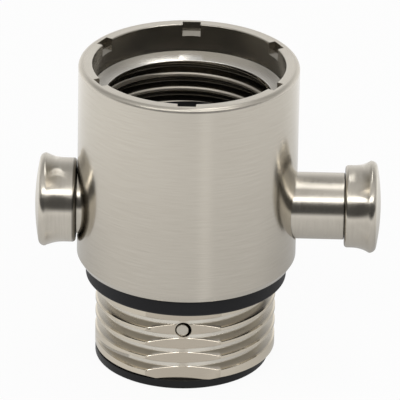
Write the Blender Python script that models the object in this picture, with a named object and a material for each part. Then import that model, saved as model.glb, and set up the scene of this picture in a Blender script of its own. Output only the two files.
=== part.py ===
"""Push-pull shut-off valve for a half-inch water line, modelled at its real size.

A brushed outer sleeve covers a bright turned core. The core has a threaded socket at the
top, a cross bore for the plunger and a threaded spout at the bottom. The plunger is a
grooved stem with a knob on each end: pushed to one side its waist opens the waterway,
pushed to the other its land shuts it. Threads are left as plain cylinders at their
outer (spout) and root (socket) diameters.

Frame: Z is the thread axis, pointing at the inlet. The origin is the centre of the
outlet face. The plunger slides along X.
"""

import math

import bmesh
import bpy
from mathutils import Matrix

MM = 0.001

# --- Driving dimensions -------------------------------------------------------------
HALF_INCH_THREAD_R = 20.955 / 2 * MM  # G 1/2 major diameter, 14 threads per inch
FIT_GAP = 0.05 * MM  # between pieces that seat on each other
SLIDE_GAP = 0.10 * MM  # between the stem and its bore

# Heights along Z, from the outlet face
TOTAL_H = 36.7 * MM
SLEEVE_BOTTOM = 12.2 * MM
SEAL_BOTTOM = 10.1 * MM
CORE_BOTTOM = 1.3 * MM
CORE_TOP = TOTAL_H - 3.3 * MM
SOCKET_FLOOR = 25.8 * MM
CHAMBER_CEILING = 13.2 * MM
PLUNGER_Z = 19.1 * MM

# Sleeve
SLEEVE_R = 12.7 * MM  # one-inch bar
SLEEVE_BORE_R = 11.1 * MM
RIM_ROUND = 0.5 * MM
FOOT_CHAMFER_R = 0.5 * MM
FOOT_CHAMFER_H = 0.8 * MM
NOTCHES = 6
NOTCH_WIDTH = 2.1 * MM
NOTCH_WALL_R = 11.85 * MM
NOTCH_DEPTH = 1.0 * MM
NOTCH_FLOOR_FLAT = 0.4 * MM  # the rest of the floor slopes down at 45 degrees
NOTCH_CUTTER_LAP = 0.4 * MM  # how far the notch cutter passes the bore

# Core
CORE_R = SLEEVE_BORE_R - FIT_GAP
SOCKET_R = HALF_INCH_THREAD_R + FIT_GAP
SOCKET_THREAD_BOTTOM = 28.0 * MM
WASHER_POCKET_R = 9.35 * MM
PORT_R = 2.3 * MM
SPOUT_BORE_R = 7.2 * MM
CHAMBER_CHAMFER = 0.6 * MM
THREAD_TOP = SEAL_BOTTOM + 0.4 * MM  # just inside the shoulder seal
NECK_R = 9.3 * MM
NECK_BOTTOM = THREAD_TOP + 0.6 * MM
COLLAR_R = 10.0 * MM
COLLAR_TOP = CORE_BOTTOM + 0.4 * MM
COLLAR_SHOULDER = 0.3 * MM
CORE_EDGE = 0.25 * MM
FLAT_DISTANCE = 19.05 / 2 * MM  # three quarters of an inch across the spanner flats
FLATS_TOP = SEAL_BOTTOM - FIT_GAP

# Plunger, along X, with its left knob against the sleeve
STEM_R = 3.8 * MM
CROSS_BORE_R = STEM_R + SLIDE_GAP
SLEEVE_HOLE_R = STEM_R + 2 * SLIDE_GAP
TRAVEL = 5.45 * MM
STEM_LEFT = -SLEEVE_R - FIT_GAP
STEM_RIGHT = -STEM_LEFT + TRAVEL
STEM_MIDDLE = (STEM_LEFT + STEM_RIGHT) / 2
STUD_R = 2.5 * MM
STUD_LENGTH = 2.3 * MM
STUD_EDGE = 0.2 * MM
WAIST_R = 1.9 * MM
WAIST_HALF = PORT_R
WAIST_ROUND = 0.5 * MM
RING_GROOVE_R = 2.6 * MM
RING_GROOVE_WIDTH = 1.7 * MM
RING_RIB = 0.5 * MM  # between the waist and the left groove
LEFT_GROOVE_X = -WAIST_HALF - RING_RIB - RING_GROOVE_WIDTH / 2
RIGHT_GROOVE_X = 2 * STEM_MIDDLE - LEFT_GROOVE_X
PLUNGER_RING_SECTION_R = 0.6 * MM
PLUNGER_RING_R = RING_GROOVE_R + FIT_GAP + PLUNGER_RING_SECTION_R

# Knobs: neck radius, lip radius, where the flare starts, where the lip is, full length
LEFT_KNOB = (4.77 * MM, 5.37 * MM, 2.0 * MM, 3.8 * MM, 4.85 * MM)
RIGHT_KNOB = (4.75 * MM, 5.33 * MM, 1.65 * MM, 3.3 * MM, 4.4 * MM)
KNOB_EDGE = 0.35 * MM
KNOB_LIP_ROUND = 0.4 * MM
KNOB_DOME_R = 25.0 * MM

# Shoulder seal and inlet washer
SEAL_R = 11.65 * MM
SEAL_BORE_R = HALF_INCH_THREAD_R + FIT_GAP  # slips over the spout's thread
WASHER_R = 9.2 * MM
WASHER_BORE_R = 6.0 * MM
WASHER_H = 2.0 * MM
RUBBER_EDGE = 0.25 * MM

# Outlet insert
FLANGE_R = 10.1 * MM
FLANGE_EDGE = 0.15 * MM
SPIGOT_R = SPOUT_BORE_R - 2 * FIT_GAP
SPIGOT_BORE_R = 5.7 * MM
SPIGOT_TOP = 9.4 * MM
SPIGOT_CHAMFER = 0.4 * MM
PLATE_H = 1.6 * MM
POST_R = 1.9 * MM
POST_TOP = 4.4 * MM
POST_CHAMFER = 0.8 * MM
OUTLET_HOLES = 6
OUTLET_HOLE_R = 1.3 * MM
OUTLET_HOLE_CIRCLE_R = 3.85 * MM
INSERT_RING_Z = 3.6 * MM
INSERT_RING_SECTION_R = 0.45 * MM
INSERT_RING_R = SPIGOT_R + FIT_GAP - INSERT_RING_SECTION_R
FLOW_RING_SECTION_R = 0.75 * MM
FLOW_RING_R = POST_R + FIT_GAP + FLOW_RING_SECTION_R

# Retaining pin, along Y through the front spanner flat
PIN_Z = 7.4 * MM
PIN_R = 0.75 * MM
PIN_HOLE_R = 1.0 * MM
PIN_SINK = PIN_HOLE_R - PIN_R - FIT_GAP  # the pin lies low in its hole
PIN_RECESS = 0.25 * MM
PIN_GROOVE_R = 6.5 * MM
PIN_GROOVE_HALF = 1.0 * MM

# Facets round a full turn
LARGE_STEPS = 72
BORE_STEPS = 52
STEM_STEPS = 36
SMALL_STEPS = 16
RING_SECTION_STEPS = 8


# --- Helpers ------------------------------------------------------------------------
def clear_scene():
    for obj in list(bpy.data.objects):
        bpy.data.objects.remove(obj)


def metal_or_rubber(name, colour, roughness, metallic):
    material = bpy.data.materials.new(name)
    material.use_nodes = True
    shader = material.node_tree.nodes["Principled BSDF"]
    shader.inputs["Base Color"].default_value = (*colour, 1.0)
    shader.inputs["Roughness"].default_value = roughness
    shader.inputs["Metallic"].default_value = metallic
    material.diffuse_color = (*colour, 1.0)
    return material


def add_object(name, bm, material):
    """Turns a bmesh into a smooth-shaded object whose faces point outwards."""
    bmesh.ops.recalc_face_normals(bm, faces=bm.faces)
    mesh = bpy.data.meshes.new(name)
    bm.to_mesh(mesh)
    bm.free()
    mesh.shade_smooth()
    mesh.set_sharp_from_angle(angle=math.radians(30))
    if material:
        mesh.materials.append(material)
    obj = bpy.data.objects.new(name, mesh)
    bpy.context.scene.collection.objects.link(obj)
    return obj


def arc(centre, radius, start, end, steps):
    """Points on an arc in the profile plane, angles in degrees from the +radius axis."""
    points = []
    for i in range(steps + 1):
        angle = math.radians(start + (end - start) * i / steps)
        points.append((centre[0] + radius * math.cos(angle), centre[1] + radius * math.sin(angle)))
    return points


def turned_bmesh(profile, steps):
    """Turns a closed outline of (radius, height) points about Z. Points at radius 0 close it."""
    bm = bmesh.new()
    verts = [bm.verts.new((r, 0.0, h)) for r, h in profile]
    edges = [bm.edges.new((a, b)) for a, b in zip(verts, verts[1:])]
    if profile[0][0] > 0:
        edges.append(bm.edges.new((verts[-1], verts[0])))
    bmesh.ops.spin(
        bm,
        geom=verts + edges,
        axis=(0, 0, 1),
        cent=(0, 0, 0),
        angle=math.tau,
        steps=steps,
        use_merge=True,
    )
    bmesh.ops.remove_doubles(bm, verts=bm.verts, dist=1e-7)
    return bm


def turned(name, profile, material, steps=LARGE_STEPS):
    return add_object(name, turned_bmesh(profile, steps), material)


def turned_along_x(name, profile, material, steps=STEM_STEPS, outwards=1):
    """Turns (radius, distance) points about X, distance along +X or, with outwards -1, along -X."""
    bm = turned_bmesh(profile, steps)
    bmesh.ops.rotate(bm, verts=bm.verts, matrix=Matrix.Rotation(outwards * math.pi / 2, 3, "Y"))
    return add_object(name, bm, material)


def ring_profile(major, section, height):
    """The round section of a moulded O-ring."""
    return arc((major, height), section, 0, 360, RING_SECTION_STEPS)[:-1]


def as_cutter(obj):
    obj.hide_render = True
    obj.display_type = "WIRE"
    return obj


def cylinder_cutter(name, radius, length, centre, axis, steps):
    bm = bmesh.new()
    bmesh.ops.create_cone(
        bm, cap_ends=True, segments=steps, radius1=radius, radius2=radius, depth=length
    )
    turn = {
        "X": Matrix.Rotation(math.pi / 2, 3, "Y"),
        "Y": Matrix.Rotation(math.pi / 2, 3, "X"),
        "Z": Matrix.Identity(3),
    }[axis]
    bmesh.ops.rotate(bm, verts=bm.verts, matrix=turn)
    bmesh.ops.translate(bm, verts=bm.verts, vec=centre)
    return as_cutter(add_object(name, bm, None))


def box_cutter(name, low, high):
    bm = bmesh.new()
    bmesh.ops.create_cube(bm, size=1.0)
    size = [b - a for a, b in zip(low, high)]
    middle = [(a + b) / 2 for a, b in zip(low, high)]
    bmesh.ops.scale(bm, verts=bm.verts, vec=size)
    bmesh.ops.translate(bm, verts=bm.verts, vec=middle)
    return as_cutter(add_object(name, bm, None))


def cut(obj, cutter):
    modifier = obj.modifiers.new("cut by " + cutter.name, "BOOLEAN")
    modifier.operation = "DIFFERENCE"
    modifier.object = cutter
    modifier.solver = "EXACT"


# --- Sleeve -------------------------------------------------------------------------
def notch_cutter():
    """Six prisms that cut the spanner notches into the inner edge of the rim."""
    inside = SLEEVE_BORE_R - NOTCH_CUTTER_LAP
    above = TOTAL_H + NOTCH_CUTTER_LAP
    floor = TOTAL_H - NOTCH_DEPTH
    slope_start = NOTCH_WALL_R - NOTCH_FLOOR_FLAT
    section = [
        (inside, above),
        (NOTCH_WALL_R, above),
        (NOTCH_WALL_R, floor),
        (slope_start, floor),
        (inside, floor - (slope_start - inside)),
    ]
    bm = bmesh.new()
    for i in range(NOTCHES):
        turn = Matrix.Rotation(math.tau * (i + 0.5) / NOTCHES, 3, "Z")
        face = bm.faces.new([bm.verts.new((r, -NOTCH_WIDTH / 2, h)) for r, h in section])
        side = bmesh.ops.extrude_face_region(bm, geom=[face])["geom"]
        moved = [v for v in side if isinstance(v, bmesh.types.BMVert)]
        bmesh.ops.translate(bm, verts=moved, vec=(0, NOTCH_WIDTH, 0))
        bmesh.ops.rotate(bm, verts=list(face.verts) + moved, matrix=turn)
    return as_cutter(add_object("cutter_notches", bm, None))


def make_sleeve(material):
    profile = [
        (SLEEVE_BORE_R, SLEEVE_BOTTOM),
        (SLEEVE_R - FOOT_CHAMFER_R, SLEEVE_BOTTOM),
        (SLEEVE_R, SLEEVE_BOTTOM + FOOT_CHAMFER_H),
    ]
    profile += arc((SLEEVE_R - RIM_ROUND, TOTAL_H - RIM_ROUND), RIM_ROUND, 0, 90, 4)
    profile += [(SLEEVE_BORE_R, TOTAL_H)]
    sleeve = turned("outer_sleeve", profile, material)
    cut(sleeve, notch_cutter())
    centre = (0, 0, PLUNGER_Z)
    cut(
        sleeve,
        cylinder_cutter("cutter_sleeve", SLEEVE_HOLE_R, 4 * SLEEVE_R, centre, "X", STEM_STEPS),
    )


# --- Core ---------------------------------------------------------------------------
def core_profile():
    runout = SOCKET_R - WASHER_POCKET_R
    return [
        (SPOUT_BORE_R, CORE_BOTTOM),
        (COLLAR_R, CORE_BOTTOM),
        (COLLAR_R, COLLAR_TOP),
        (HALF_INCH_THREAD_R, COLLAR_TOP + COLLAR_SHOULDER),
        (HALF_INCH_THREAD_R, THREAD_TOP),
        (NECK_R, NECK_BOTTOM),
        (NECK_R, SLEEVE_BOTTOM),
        (CORE_R, SLEEVE_BOTTOM),
        (CORE_R, CORE_TOP - CORE_EDGE),
        (CORE_R - CORE_EDGE, CORE_TOP),
        (SOCKET_R, CORE_TOP),
        (SOCKET_R, SOCKET_THREAD_BOTTOM + runout),
        (WASHER_POCKET_R, SOCKET_THREAD_BOTTOM),
        (WASHER_POCKET_R, SOCKET_FLOOR),
        (PORT_R, SOCKET_FLOOR),
        (PORT_R, CHAMBER_CEILING),
        (SPOUT_BORE_R - CHAMBER_CHAMFER, CHAMBER_CEILING),
        (SPOUT_BORE_R, CHAMBER_CEILING - CHAMBER_CHAMFER),
    ]


def make_core(material):
    core = turned("valve_core", core_profile(), material, BORE_STEPS)
    bore = cylinder_cutter(
        "cutter_cross_bore", CROSS_BORE_R, 3 * CORE_R, (0, 0, PLUNGER_Z), "X", STEM_STEPS
    )
    cut(core, bore)
    for side, sign in (("front", -1), ("back", 1)):
        near, far = sorted((sign * FLAT_DISTANCE, sign * 2 * FLAT_DISTANCE))
        low = (-2 * CORE_R, near, COLLAR_TOP)
        high = (2 * CORE_R, far, FLATS_TOP)
        cut(core, box_cutter("cutter_flat_" + side, low, high))
    middle = (0, -(FLAT_DISTANCE + SPOUT_BORE_R) / 2, PIN_Z)
    cut(core, cylinder_cutter("cutter_pin_hole", PIN_HOLE_R, 4 * MM, middle, "Y", SMALL_STEPS))


# --- Plunger ------------------------------------------------------------------------
def make_stem(material):
    """The grooved spool between the knobs, turned about X."""
    half_groove = RING_GROOVE_WIDTH / 2
    profile = [
        (0, STEM_LEFT - STUD_LENGTH),
        (STUD_R - STUD_EDGE, STEM_LEFT - STUD_LENGTH),
        (STUD_R, STEM_LEFT - STUD_LENGTH + STUD_EDGE),
        (STUD_R, STEM_LEFT),
        (STEM_R, STEM_LEFT),
    ]
    for middle in (LEFT_GROOVE_X, RIGHT_GROOVE_X):
        groove = [
            (STEM_R, middle - half_groove),
            (RING_GROOVE_R, middle - half_groove),
            (RING_GROOVE_R, middle + half_groove),
            (STEM_R, middle + half_groove),
        ]
        profile += groove
        if middle == LEFT_GROOVE_X:
            corner_r = WAIST_R + WAIST_ROUND
            corner_x = WAIST_HALF - WAIST_ROUND
            profile.append((STEM_R, -WAIST_HALF))
            profile += arc((corner_r, -corner_x), WAIST_ROUND, 270, 180, 3)
            profile += arc((corner_r, corner_x), WAIST_ROUND, 180, 90, 3)
            profile.append((STEM_R, WAIST_HALF))
    profile += [
        (STEM_R, STEM_RIGHT),
        (STUD_R, STEM_RIGHT),
        (STUD_R, STEM_RIGHT + STUD_LENGTH - STUD_EDGE),
        (STUD_R - STUD_EDGE, STEM_RIGHT + STUD_LENGTH),
        (0, STEM_RIGHT + STUD_LENGTH),
    ]
    stem = turned_along_x("plunger_stem", profile, material)
    stem.location.z = PLUNGER_Z


def knob_profile(neck_r, lip_r, flare_start, lip_at, length):
    """Half section of a knob, (radius, distance from its inner face)."""
    hole_r = STUD_R + FIT_GAP
    hole_depth = STUD_LENGTH + 2 * FIT_GAP
    profile = [(0, hole_depth), (hole_r, hole_depth), (hole_r, FIT_GAP), (neck_r - KNOB_EDGE, FIT_GAP)]
    profile += arc((neck_r - KNOB_EDGE, FIT_GAP + KNOB_EDGE), KNOB_EDGE, -90, 0, 3)[1:]
    # A hollow arc, tangent to the neck, flares out to the lip.
    run = lip_at - flare_start
    rise = lip_r - neck_r
    flare_r = (run * run + rise * rise) / (2 * rise)
    sweep = math.degrees(math.asin(run / flare_r))
    profile += arc((neck_r + flare_r, flare_start), flare_r, 180, 180 - sweep, 5)
    # The lip rounds over onto a shallow dome.
    dome_centre = length - KNOB_DOME_R
    lip_centre_r = lip_r - KNOB_LIP_ROUND
    reach = KNOB_DOME_R - KNOB_LIP_ROUND
    lip_centre_h = dome_centre + math.sqrt(reach * reach - lip_centre_r * lip_centre_r)
    tangent = math.degrees(math.atan2(lip_centre_h - dome_centre, lip_centre_r))
    profile += arc((lip_centre_r, lip_centre_h), KNOB_LIP_ROUND, 0, tangent, 4)
    profile += arc((0, dome_centre), KNOB_DOME_R, tangent, 90, 3)[1:-1]
    profile.append((0, length))
    return profile


def make_knob(name, shape, face_x, outwards, material):
    knob = turned_along_x(name, knob_profile(*shape), material, STEM_STEPS, outwards)
    knob.location = (face_x, 0, PLUNGER_Z)


def make_plunger_ring(name, middle_x, material):
    profile = ring_profile(PLUNGER_RING_R, PLUNGER_RING_SECTION_R, 0)
    plunger_ring = turned_along_x(name, profile, material)
    plunger_ring.location = (middle_x, 0, PLUNGER_Z)


# --- Seals --------------------------------------------------------------------------
def flat_ring_profile(inner, outer, low, high):
    e = RUBBER_EDGE
    return [
        (inner, low),
        (outer - e, low),
        (outer, low + e),
        (outer, high - e),
        (outer - e, high),
        (inner, high),
    ]


# --- Outlet insert ------------------------------------------------------------------
def make_insert(material):
    """Flanged insert in the spout: a perforated plate with a post, inside a grooved spigot."""
    flange_top = CORE_BOTTOM - FIT_GAP
    ring_low = INSERT_RING_Z - INSERT_RING_SECTION_R - 2 * FIT_GAP
    ring_high = INSERT_RING_Z + INSERT_RING_SECTION_R + 2 * FIT_GAP
    ring_groove_r = INSERT_RING_R - INSERT_RING_SECTION_R - FIT_GAP
    profile = [
        (0, 0),
        (FLANGE_R - FLANGE_EDGE, 0),
        (FLANGE_R, FLANGE_EDGE),
        (FLANGE_R, flange_top),
        (SPIGOT_R, flange_top),
        (SPIGOT_R, ring_low),
        (ring_groove_r, ring_low),
        (ring_groove_r, ring_high),
        (SPIGOT_R, ring_high),
        (SPIGOT_R, PIN_Z - PIN_GROOVE_HALF),
        (PIN_GROOVE_R, PIN_Z - PIN_GROOVE_HALF),
        (PIN_GROOVE_R, PIN_Z + PIN_GROOVE_HALF),
        (SPIGOT_R, PIN_Z + PIN_GROOVE_HALF),
        (SPIGOT_R, SPIGOT_TOP - SPIGOT_CHAMFER),
        (SPIGOT_R - SPIGOT_CHAMFER, SPIGOT_TOP),
        (SPIGOT_BORE_R, SPIGOT_TOP),
        (SPIGOT_BORE_R, PLATE_H),
        (POST_R, PLATE_H),
        (POST_R, POST_TOP - POST_CHAMFER),
        (POST_R - POST_CHAMFER, POST_TOP),
        (0, POST_TOP),
    ]
    insert = turned("outlet_insert", profile, material, BORE_STEPS)
    for i in range(OUTLET_HOLES):
        angle = math.tau * i / OUTLET_HOLES
        x = OUTLET_HOLE_CIRCLE_R * math.cos(angle)
        y = OUTLET_HOLE_CIRCLE_R * math.sin(angle)
        name = f"cutter_outlet_hole_{i + 1}"
        cut(insert, cylinder_cutter(name, OUTLET_HOLE_R, 4 * MM, (x, y, PLATE_H / 2), "Z", SMALL_STEPS))


def make_pin(material):
    """Round-nosed pin whose inner end sits in the insert's groove."""
    outer_y = FLAT_DISTANCE - PIN_RECESS
    inner_y = PIN_GROOVE_R + 3 * FIT_GAP
    nose = PIN_R / 2
    profile = [(0, inner_y), (PIN_R, inner_y), (PIN_R, outer_y - nose)]
    profile += [(PIN_R * math.cos(a), outer_y - nose + nose * math.sin(a)) for a in (0.5, 1.0)]
    profile.append((0, outer_y))
    bm = turned_bmesh(profile, SMALL_STEPS)
    bmesh.ops.rotate(bm, verts=bm.verts, matrix=Matrix.Rotation(math.pi / 2, 3, "X"))
    pin = add_object("retaining_pin", bm, material)
    pin.location.z = PIN_Z - PIN_SINK


# --- Assembly -----------------------------------------------------------------------
def main():
    clear_scene()
    brushed = metal_or_rubber("brushed_nickel", (0.62, 0.59, 0.55), 0.32, 1.0)
    bright = metal_or_rubber("bright_nickel", (0.70, 0.68, 0.64), 0.12, 1.0)
    rubber = metal_or_rubber("black_rubber", (0.02, 0.02, 0.022), 0.55, 0.0)
    plastic = metal_or_rubber("black_plastic", (0.02, 0.02, 0.022), 0.4, 0.0)
    steel = metal_or_rubber("steel_pin", (0.60, 0.58, 0.55), 0.25, 1.0)

    make_sleeve(brushed)
    make_core(bright)

    make_stem(brushed)
    make_knob("left_knob", LEFT_KNOB, STEM_LEFT, -1, brushed)
    make_knob("right_knob", RIGHT_KNOB, STEM_RIGHT, 1, brushed)
    make_plunger_ring("left_plunger_o_ring", LEFT_GROOVE_X, rubber)
    make_plunger_ring("right_plunger_o_ring", RIGHT_GROOVE_X, rubber)

    seal = flat_ring_profile(SEAL_BORE_R, SEAL_R, SEAL_BOTTOM, SLEEVE_BOTTOM - FIT_GAP)
    turned("shoulder_seal", seal, rubber, BORE_STEPS)
    washer_low = SOCKET_FLOOR + FIT_GAP
    washer = flat_ring_profile(WASHER_BORE_R, WASHER_R, washer_low, washer_low + WASHER_H)
    turned("inlet_washer", washer, rubber, BORE_STEPS)

    make_insert(plastic)
    insert_ring = ring_profile(INSERT_RING_R, INSERT_RING_SECTION_R, INSERT_RING_Z)
    turned("insert_o_ring", insert_ring, rubber, BORE_STEPS)
    flow_ring_z = PLATE_H + FIT_GAP + FLOW_RING_SECTION_R
    flow_ring = ring_profile(FLOW_RING_R, FLOW_RING_SECTION_R, flow_ring_z)
    turned("flow_control_ring", flow_ring, rubber, STEM_STEPS)
    make_pin(steel)


main()
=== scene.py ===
# %% [markdown]
# # Push-pull shut-off valve
# This lesson dresses a small brass valve: a brushed nickel sleeve round a bright threaded core,
# with a plunger that slides through both. The working model is loaded first and stays as it is.
# Every piece that shows is then modelled again with finer shape and finish, and rides on the
# body of the working model that it belongs to, so that the plunger still slides.

# %% Load the working model
import math

import bpy
from mathutils import Matrix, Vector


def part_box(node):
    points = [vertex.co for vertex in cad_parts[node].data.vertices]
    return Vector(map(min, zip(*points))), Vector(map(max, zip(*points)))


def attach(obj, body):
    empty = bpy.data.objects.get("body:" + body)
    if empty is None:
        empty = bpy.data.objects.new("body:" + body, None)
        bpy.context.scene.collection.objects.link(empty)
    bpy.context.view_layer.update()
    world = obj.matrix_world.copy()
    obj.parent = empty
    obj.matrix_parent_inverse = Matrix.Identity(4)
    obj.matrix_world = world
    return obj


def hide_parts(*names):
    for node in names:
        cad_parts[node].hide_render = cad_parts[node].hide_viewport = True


MM = 0.001
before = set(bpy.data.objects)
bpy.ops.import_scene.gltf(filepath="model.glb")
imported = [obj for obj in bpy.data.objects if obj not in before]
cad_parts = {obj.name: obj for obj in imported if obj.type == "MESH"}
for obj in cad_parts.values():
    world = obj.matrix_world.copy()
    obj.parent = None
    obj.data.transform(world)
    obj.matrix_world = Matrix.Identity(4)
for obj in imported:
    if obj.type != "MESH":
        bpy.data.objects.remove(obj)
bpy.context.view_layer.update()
print("CAD nodes:", sorted(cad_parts))

# %% [markdown]
# ## Sizes
# The pieces have to fit the working model, so their places are read from its own boxes. Sizes that
# only the finer shape needs are given in millimetres where they are first used. Half-inch pipe
# thread has a crest 20.955 mm across and 14 threads to the inch, and both threads share it.

# %% Read the main sizes
sleeve_low, sleeve_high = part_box("outer_sleeve")
core_low, core_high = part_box("valve_core")
seal_low, seal_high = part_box("shoulder_seal")
washer_low, washer_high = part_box("inlet_washer")
_, insert_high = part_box("outlet_insert")
pin_low, pin_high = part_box("retaining_pin")
stem_low, stem_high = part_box("plunger_stem")

SLEEVE_R = sleeve_high.x
CORE_R = 11.05 * MM
GAP = 0.05 * MM  # left between pieces that touch on the real valve
PLUNGER_Z = (stem_low.z + stem_high.z) / 2
PITCH = 25.4 / 14 * MM
CREST_R = 20.955 / 2 * MM
print("sleeve radius", SLEEVE_R, "plunger height", PLUNGER_Z)

# %% [markdown]
# ## Turning
# Nearly every piece here comes off a lathe. By hand one would draw half of its section and turn
# it round the axis, and the helpers do the same: one point is extruded along the outline, and a
# Screw modifier turns it. With a rise per turn, the same modifier also winds a thread. No turned
# edge is quite sharp, so the first helper puts a fillet on each corner that asks for one.


# %% Round the corners of a section
def rounded(points, steps=4):
    """Replaces each corner (radius, height, fillet) by points on an arc of that fillet.

    A point just beyond each end of the arc holds the long wall next to it flat under smooth
    shading.
    """
    hold = 0.05 * MM
    result = []
    count = len(points)
    for i, point in enumerate(points):
        x, y = point[:2]
        fillet = point[2] if len(point) > 2 else 0
        if not fillet:
            result.append((x, y))
            continue
        (ax, ay), (bx, by) = points[i - 1][:2], points[(i + 1) % count][:2]
        in_x, in_y = ax - x, ay - y
        out_x, out_y = bx - x, by - y
        in_length, out_length = math.hypot(in_x, in_y), math.hypot(out_x, out_y)
        in_x, in_y = in_x / in_length, in_y / in_length
        out_x, out_y = out_x / out_length, out_y / out_length
        half = math.acos(max(-1, min(1, in_x * out_x + in_y * out_y))) / 2
        reach = min(fillet / math.tan(half), 0.49 * in_length, 0.49 * out_length)
        radius = reach * math.tan(half)
        middle_x, middle_y = in_x + out_x, in_y + out_y
        scale = radius / math.sin(half) / math.hypot(middle_x, middle_y)
        cx, cy = x + middle_x * scale, y + middle_y * scale
        start = math.atan2(y + in_y * reach - cy, x + in_x * reach - cx)
        end = math.atan2(y + out_y * reach - cy, x + out_x * reach - cx)
        sweep = (end - start + math.pi) % math.tau - math.pi
        if in_length - reach > 6 * hold:
            result.append((x + in_x * (reach + hold), y + in_y * (reach + hold)))
        for k in range(steps + 1):
            angle = start + sweep * k / steps
            result.append((cx + radius * math.cos(angle), cy + radius * math.sin(angle)))
        if out_length - reach > 6 * hold:
            result.append((x + out_x * (reach + hold), y + out_y * (reach + hold)))
    return result


# %% Select what the next operator acts on
def deselect_all():
    if bpy.context.object and bpy.context.object.mode == "EDIT":
        bpy.ops.object.mode_set(mode="OBJECT")
    bpy.ops.object.select_all(action="DESELECT")


def select_only(piece):
    deselect_all()
    piece.select_set(True)
    bpy.context.view_layer.objects.active = piece


def edit_all():
    """Opens the active piece in edit mode, with every point of it selected."""
    bpy.ops.object.mode_set(mode="EDIT")
    bpy.ops.mesh.select_all(action="SELECT")


# %% Draw an outline and turn it
MERGE = 2e-7  # points nearer to each other than this become one
FINE, MEDIUM = 192, 128  # facets round the large and the smaller turned pieces


def draw_outline(name, points, along="Z"):
    """Extrudes one point along (radius, distance) points, ready to be turned about Z, X or Y."""
    place = {
        "Z": lambda r, d: (r, 0.0, d),
        "X": lambda r, d: (d, 0.0, r),
        "Y": lambda r, d: (0.0, d, r),
    }[along]
    deselect_all()
    bpy.ops.mesh.primitive_plane_add(size=MM)
    piece = bpy.context.object
    piece.name = piece.data.name = name
    edit_all()
    bpy.ops.mesh.merge(type="CENTER")
    here = (0.0, 0.0, 0.0)
    for number, point in enumerate(points):
        there = place(*point)
        move = tuple(b - a for a, b in zip(here, there))
        if number:
            bpy.ops.mesh.extrude_region_move(TRANSFORM_OT_translate={"value": move})
        else:
            bpy.ops.transform.translate(value=move)
        here = there
    bpy.ops.object.mode_set(mode="OBJECT")
    return piece


def clean(piece):
    """Merges doubled points and turns the faces outwards."""
    bpy.context.view_layer.objects.active = piece
    edit_all()
    bpy.ops.mesh.remove_doubles(threshold=MERGE)
    bpy.ops.mesh.normals_make_consistent(inside=False)
    bpy.ops.object.mode_set(mode="OBJECT")


def wind(piece, steps, axis="Z", rise=0.0, turns=1.0):
    """Turns the outline about the axis, climbing by rise on each turn of that many steps."""
    screw = piece.modifiers.new("wind", "SCREW")
    screw.axis = axis
    screw.angle = math.tau * turns
    screw.screw_offset = rise * turns
    screw.steps = screw.render_steps = round(steps * turns)
    screw.use_merge_vertices = True
    screw.merge_threshold = MERGE
    bpy.ops.object.modifier_apply(modifier="wind")
    clean(piece)
    return piece


def turned(name, points, steps=FINE, along="Z", closed=True):
    """A turned piece from its half section; closed outlines return to their first point."""
    outline = points + [points[0]] if closed else points
    return wind(draw_outline(name, outline, along), steps, along)


# %% [markdown]
# ## Cutting
# Holes, notches, flats and threads are cut into the turned pieces with a Boolean modifier, much as
# a drill, a mill and a die would do it. The cutters are turned or blocked out like any piece, and
# thrown away after use. A piece's place is applied to its mesh, because the patterns of its finish
# read its coordinates and must not slide when it moves.


# %% Smooth, place and cut
def smooth(piece, degrees=32):
    select_only(piece)
    bpy.ops.object.shade_smooth_by_angle(angle=math.radians(degrees))


def apply_place(piece):
    select_only(piece)
    bpy.ops.object.transform_apply(location=True, rotation=True, scale=True)


def cut(piece, *tools):
    """Cuts each tool's shape out of the piece in turn, and throws the tool away."""
    for tool in tools:
        select_only(piece)
        boolean = piece.modifiers.new("cut", "BOOLEAN")
        boolean.operation = "DIFFERENCE"
        boolean.solver = "EXACT"
        boolean.object = tool
        bpy.ops.object.modifier_apply(modifier="cut")
        bpy.data.objects.remove(tool)


# %% Round and square cutters
REACH = 15 * MM  # half the length of a cutter that goes right through


def rod_tool(name, radius, low, high, along="Z", steps=96, centre=(0, 0, 0)):
    """A plain cylinder to cut with, from low to high along its axis."""
    outline = [(0, low), (radius, low), (radius, high), (0, high)]
    tool = turned(name, outline, steps, along, closed=False)
    tool.location = centre
    apply_place(tool)
    return tool


def box_tool(name, low, high):
    """A block to cut with, from one corner to the other."""
    deselect_all()
    middle = [(a + b) / 2 for a, b in zip(low, high)]
    size = [b - a for a, b in zip(low, high)]
    bpy.ops.mesh.primitive_cube_add(size=1, location=middle, scale=size)
    tool = bpy.context.object
    tool.name = name
    apply_place(tool)
    return tool


# %% Thread cutter
THREAD_STEPS = 144  # facets in one turn of a thread


def thread_tool(name, groove, low, high, start_angle, lift, fades):
    """A helical cutter: one groove section wound up the axis at the thread's pitch.

    The section's middle climbs from low to high. Over the part of a turn that fades gives for
    each end, the groove runs out to nothing, as it does where a die starts and stops; lift is
    how far the cutter backs off there, outwards or, below zero, inwards.
    """
    tool = draw_outline(name, groove + [groove[0]])
    edit_all()
    bpy.ops.transform.translate(value=(0, 0, low))
    bpy.ops.mesh.remove_doubles(threshold=MERGE)
    bpy.ops.object.mode_set(mode="OBJECT")
    wind(tool, THREAD_STEPS, rise=PITCH, turns=(high - low) / PITCH)
    last = len(tool.data.vertices) // len(groove) - 1
    for number, vertex in enumerate(tool.data.vertices):
        step = number // len(groove)
        from_ends = zip((step, last - step), fades)
        depths = [distance / (THREAD_STEPS * fade) for distance, fade in from_ends]
        outwards = 1 + lift * (1 - min(1, *depths)) / math.hypot(vertex.co.x, vertex.co.y)
        vertex.co.x *= outwards
        vertex.co.y *= outwards
    edit_all()
    bpy.ops.mesh.fill_holes(sides=0)
    bpy.ops.mesh.select_all(action="SELECT")
    bpy.ops.mesh.normals_make_consistent(inside=False)
    bpy.ops.object.mode_set(mode="OBJECT")
    tool.rotation_euler.z = start_angle
    apply_place(tool)
    return tool


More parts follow.
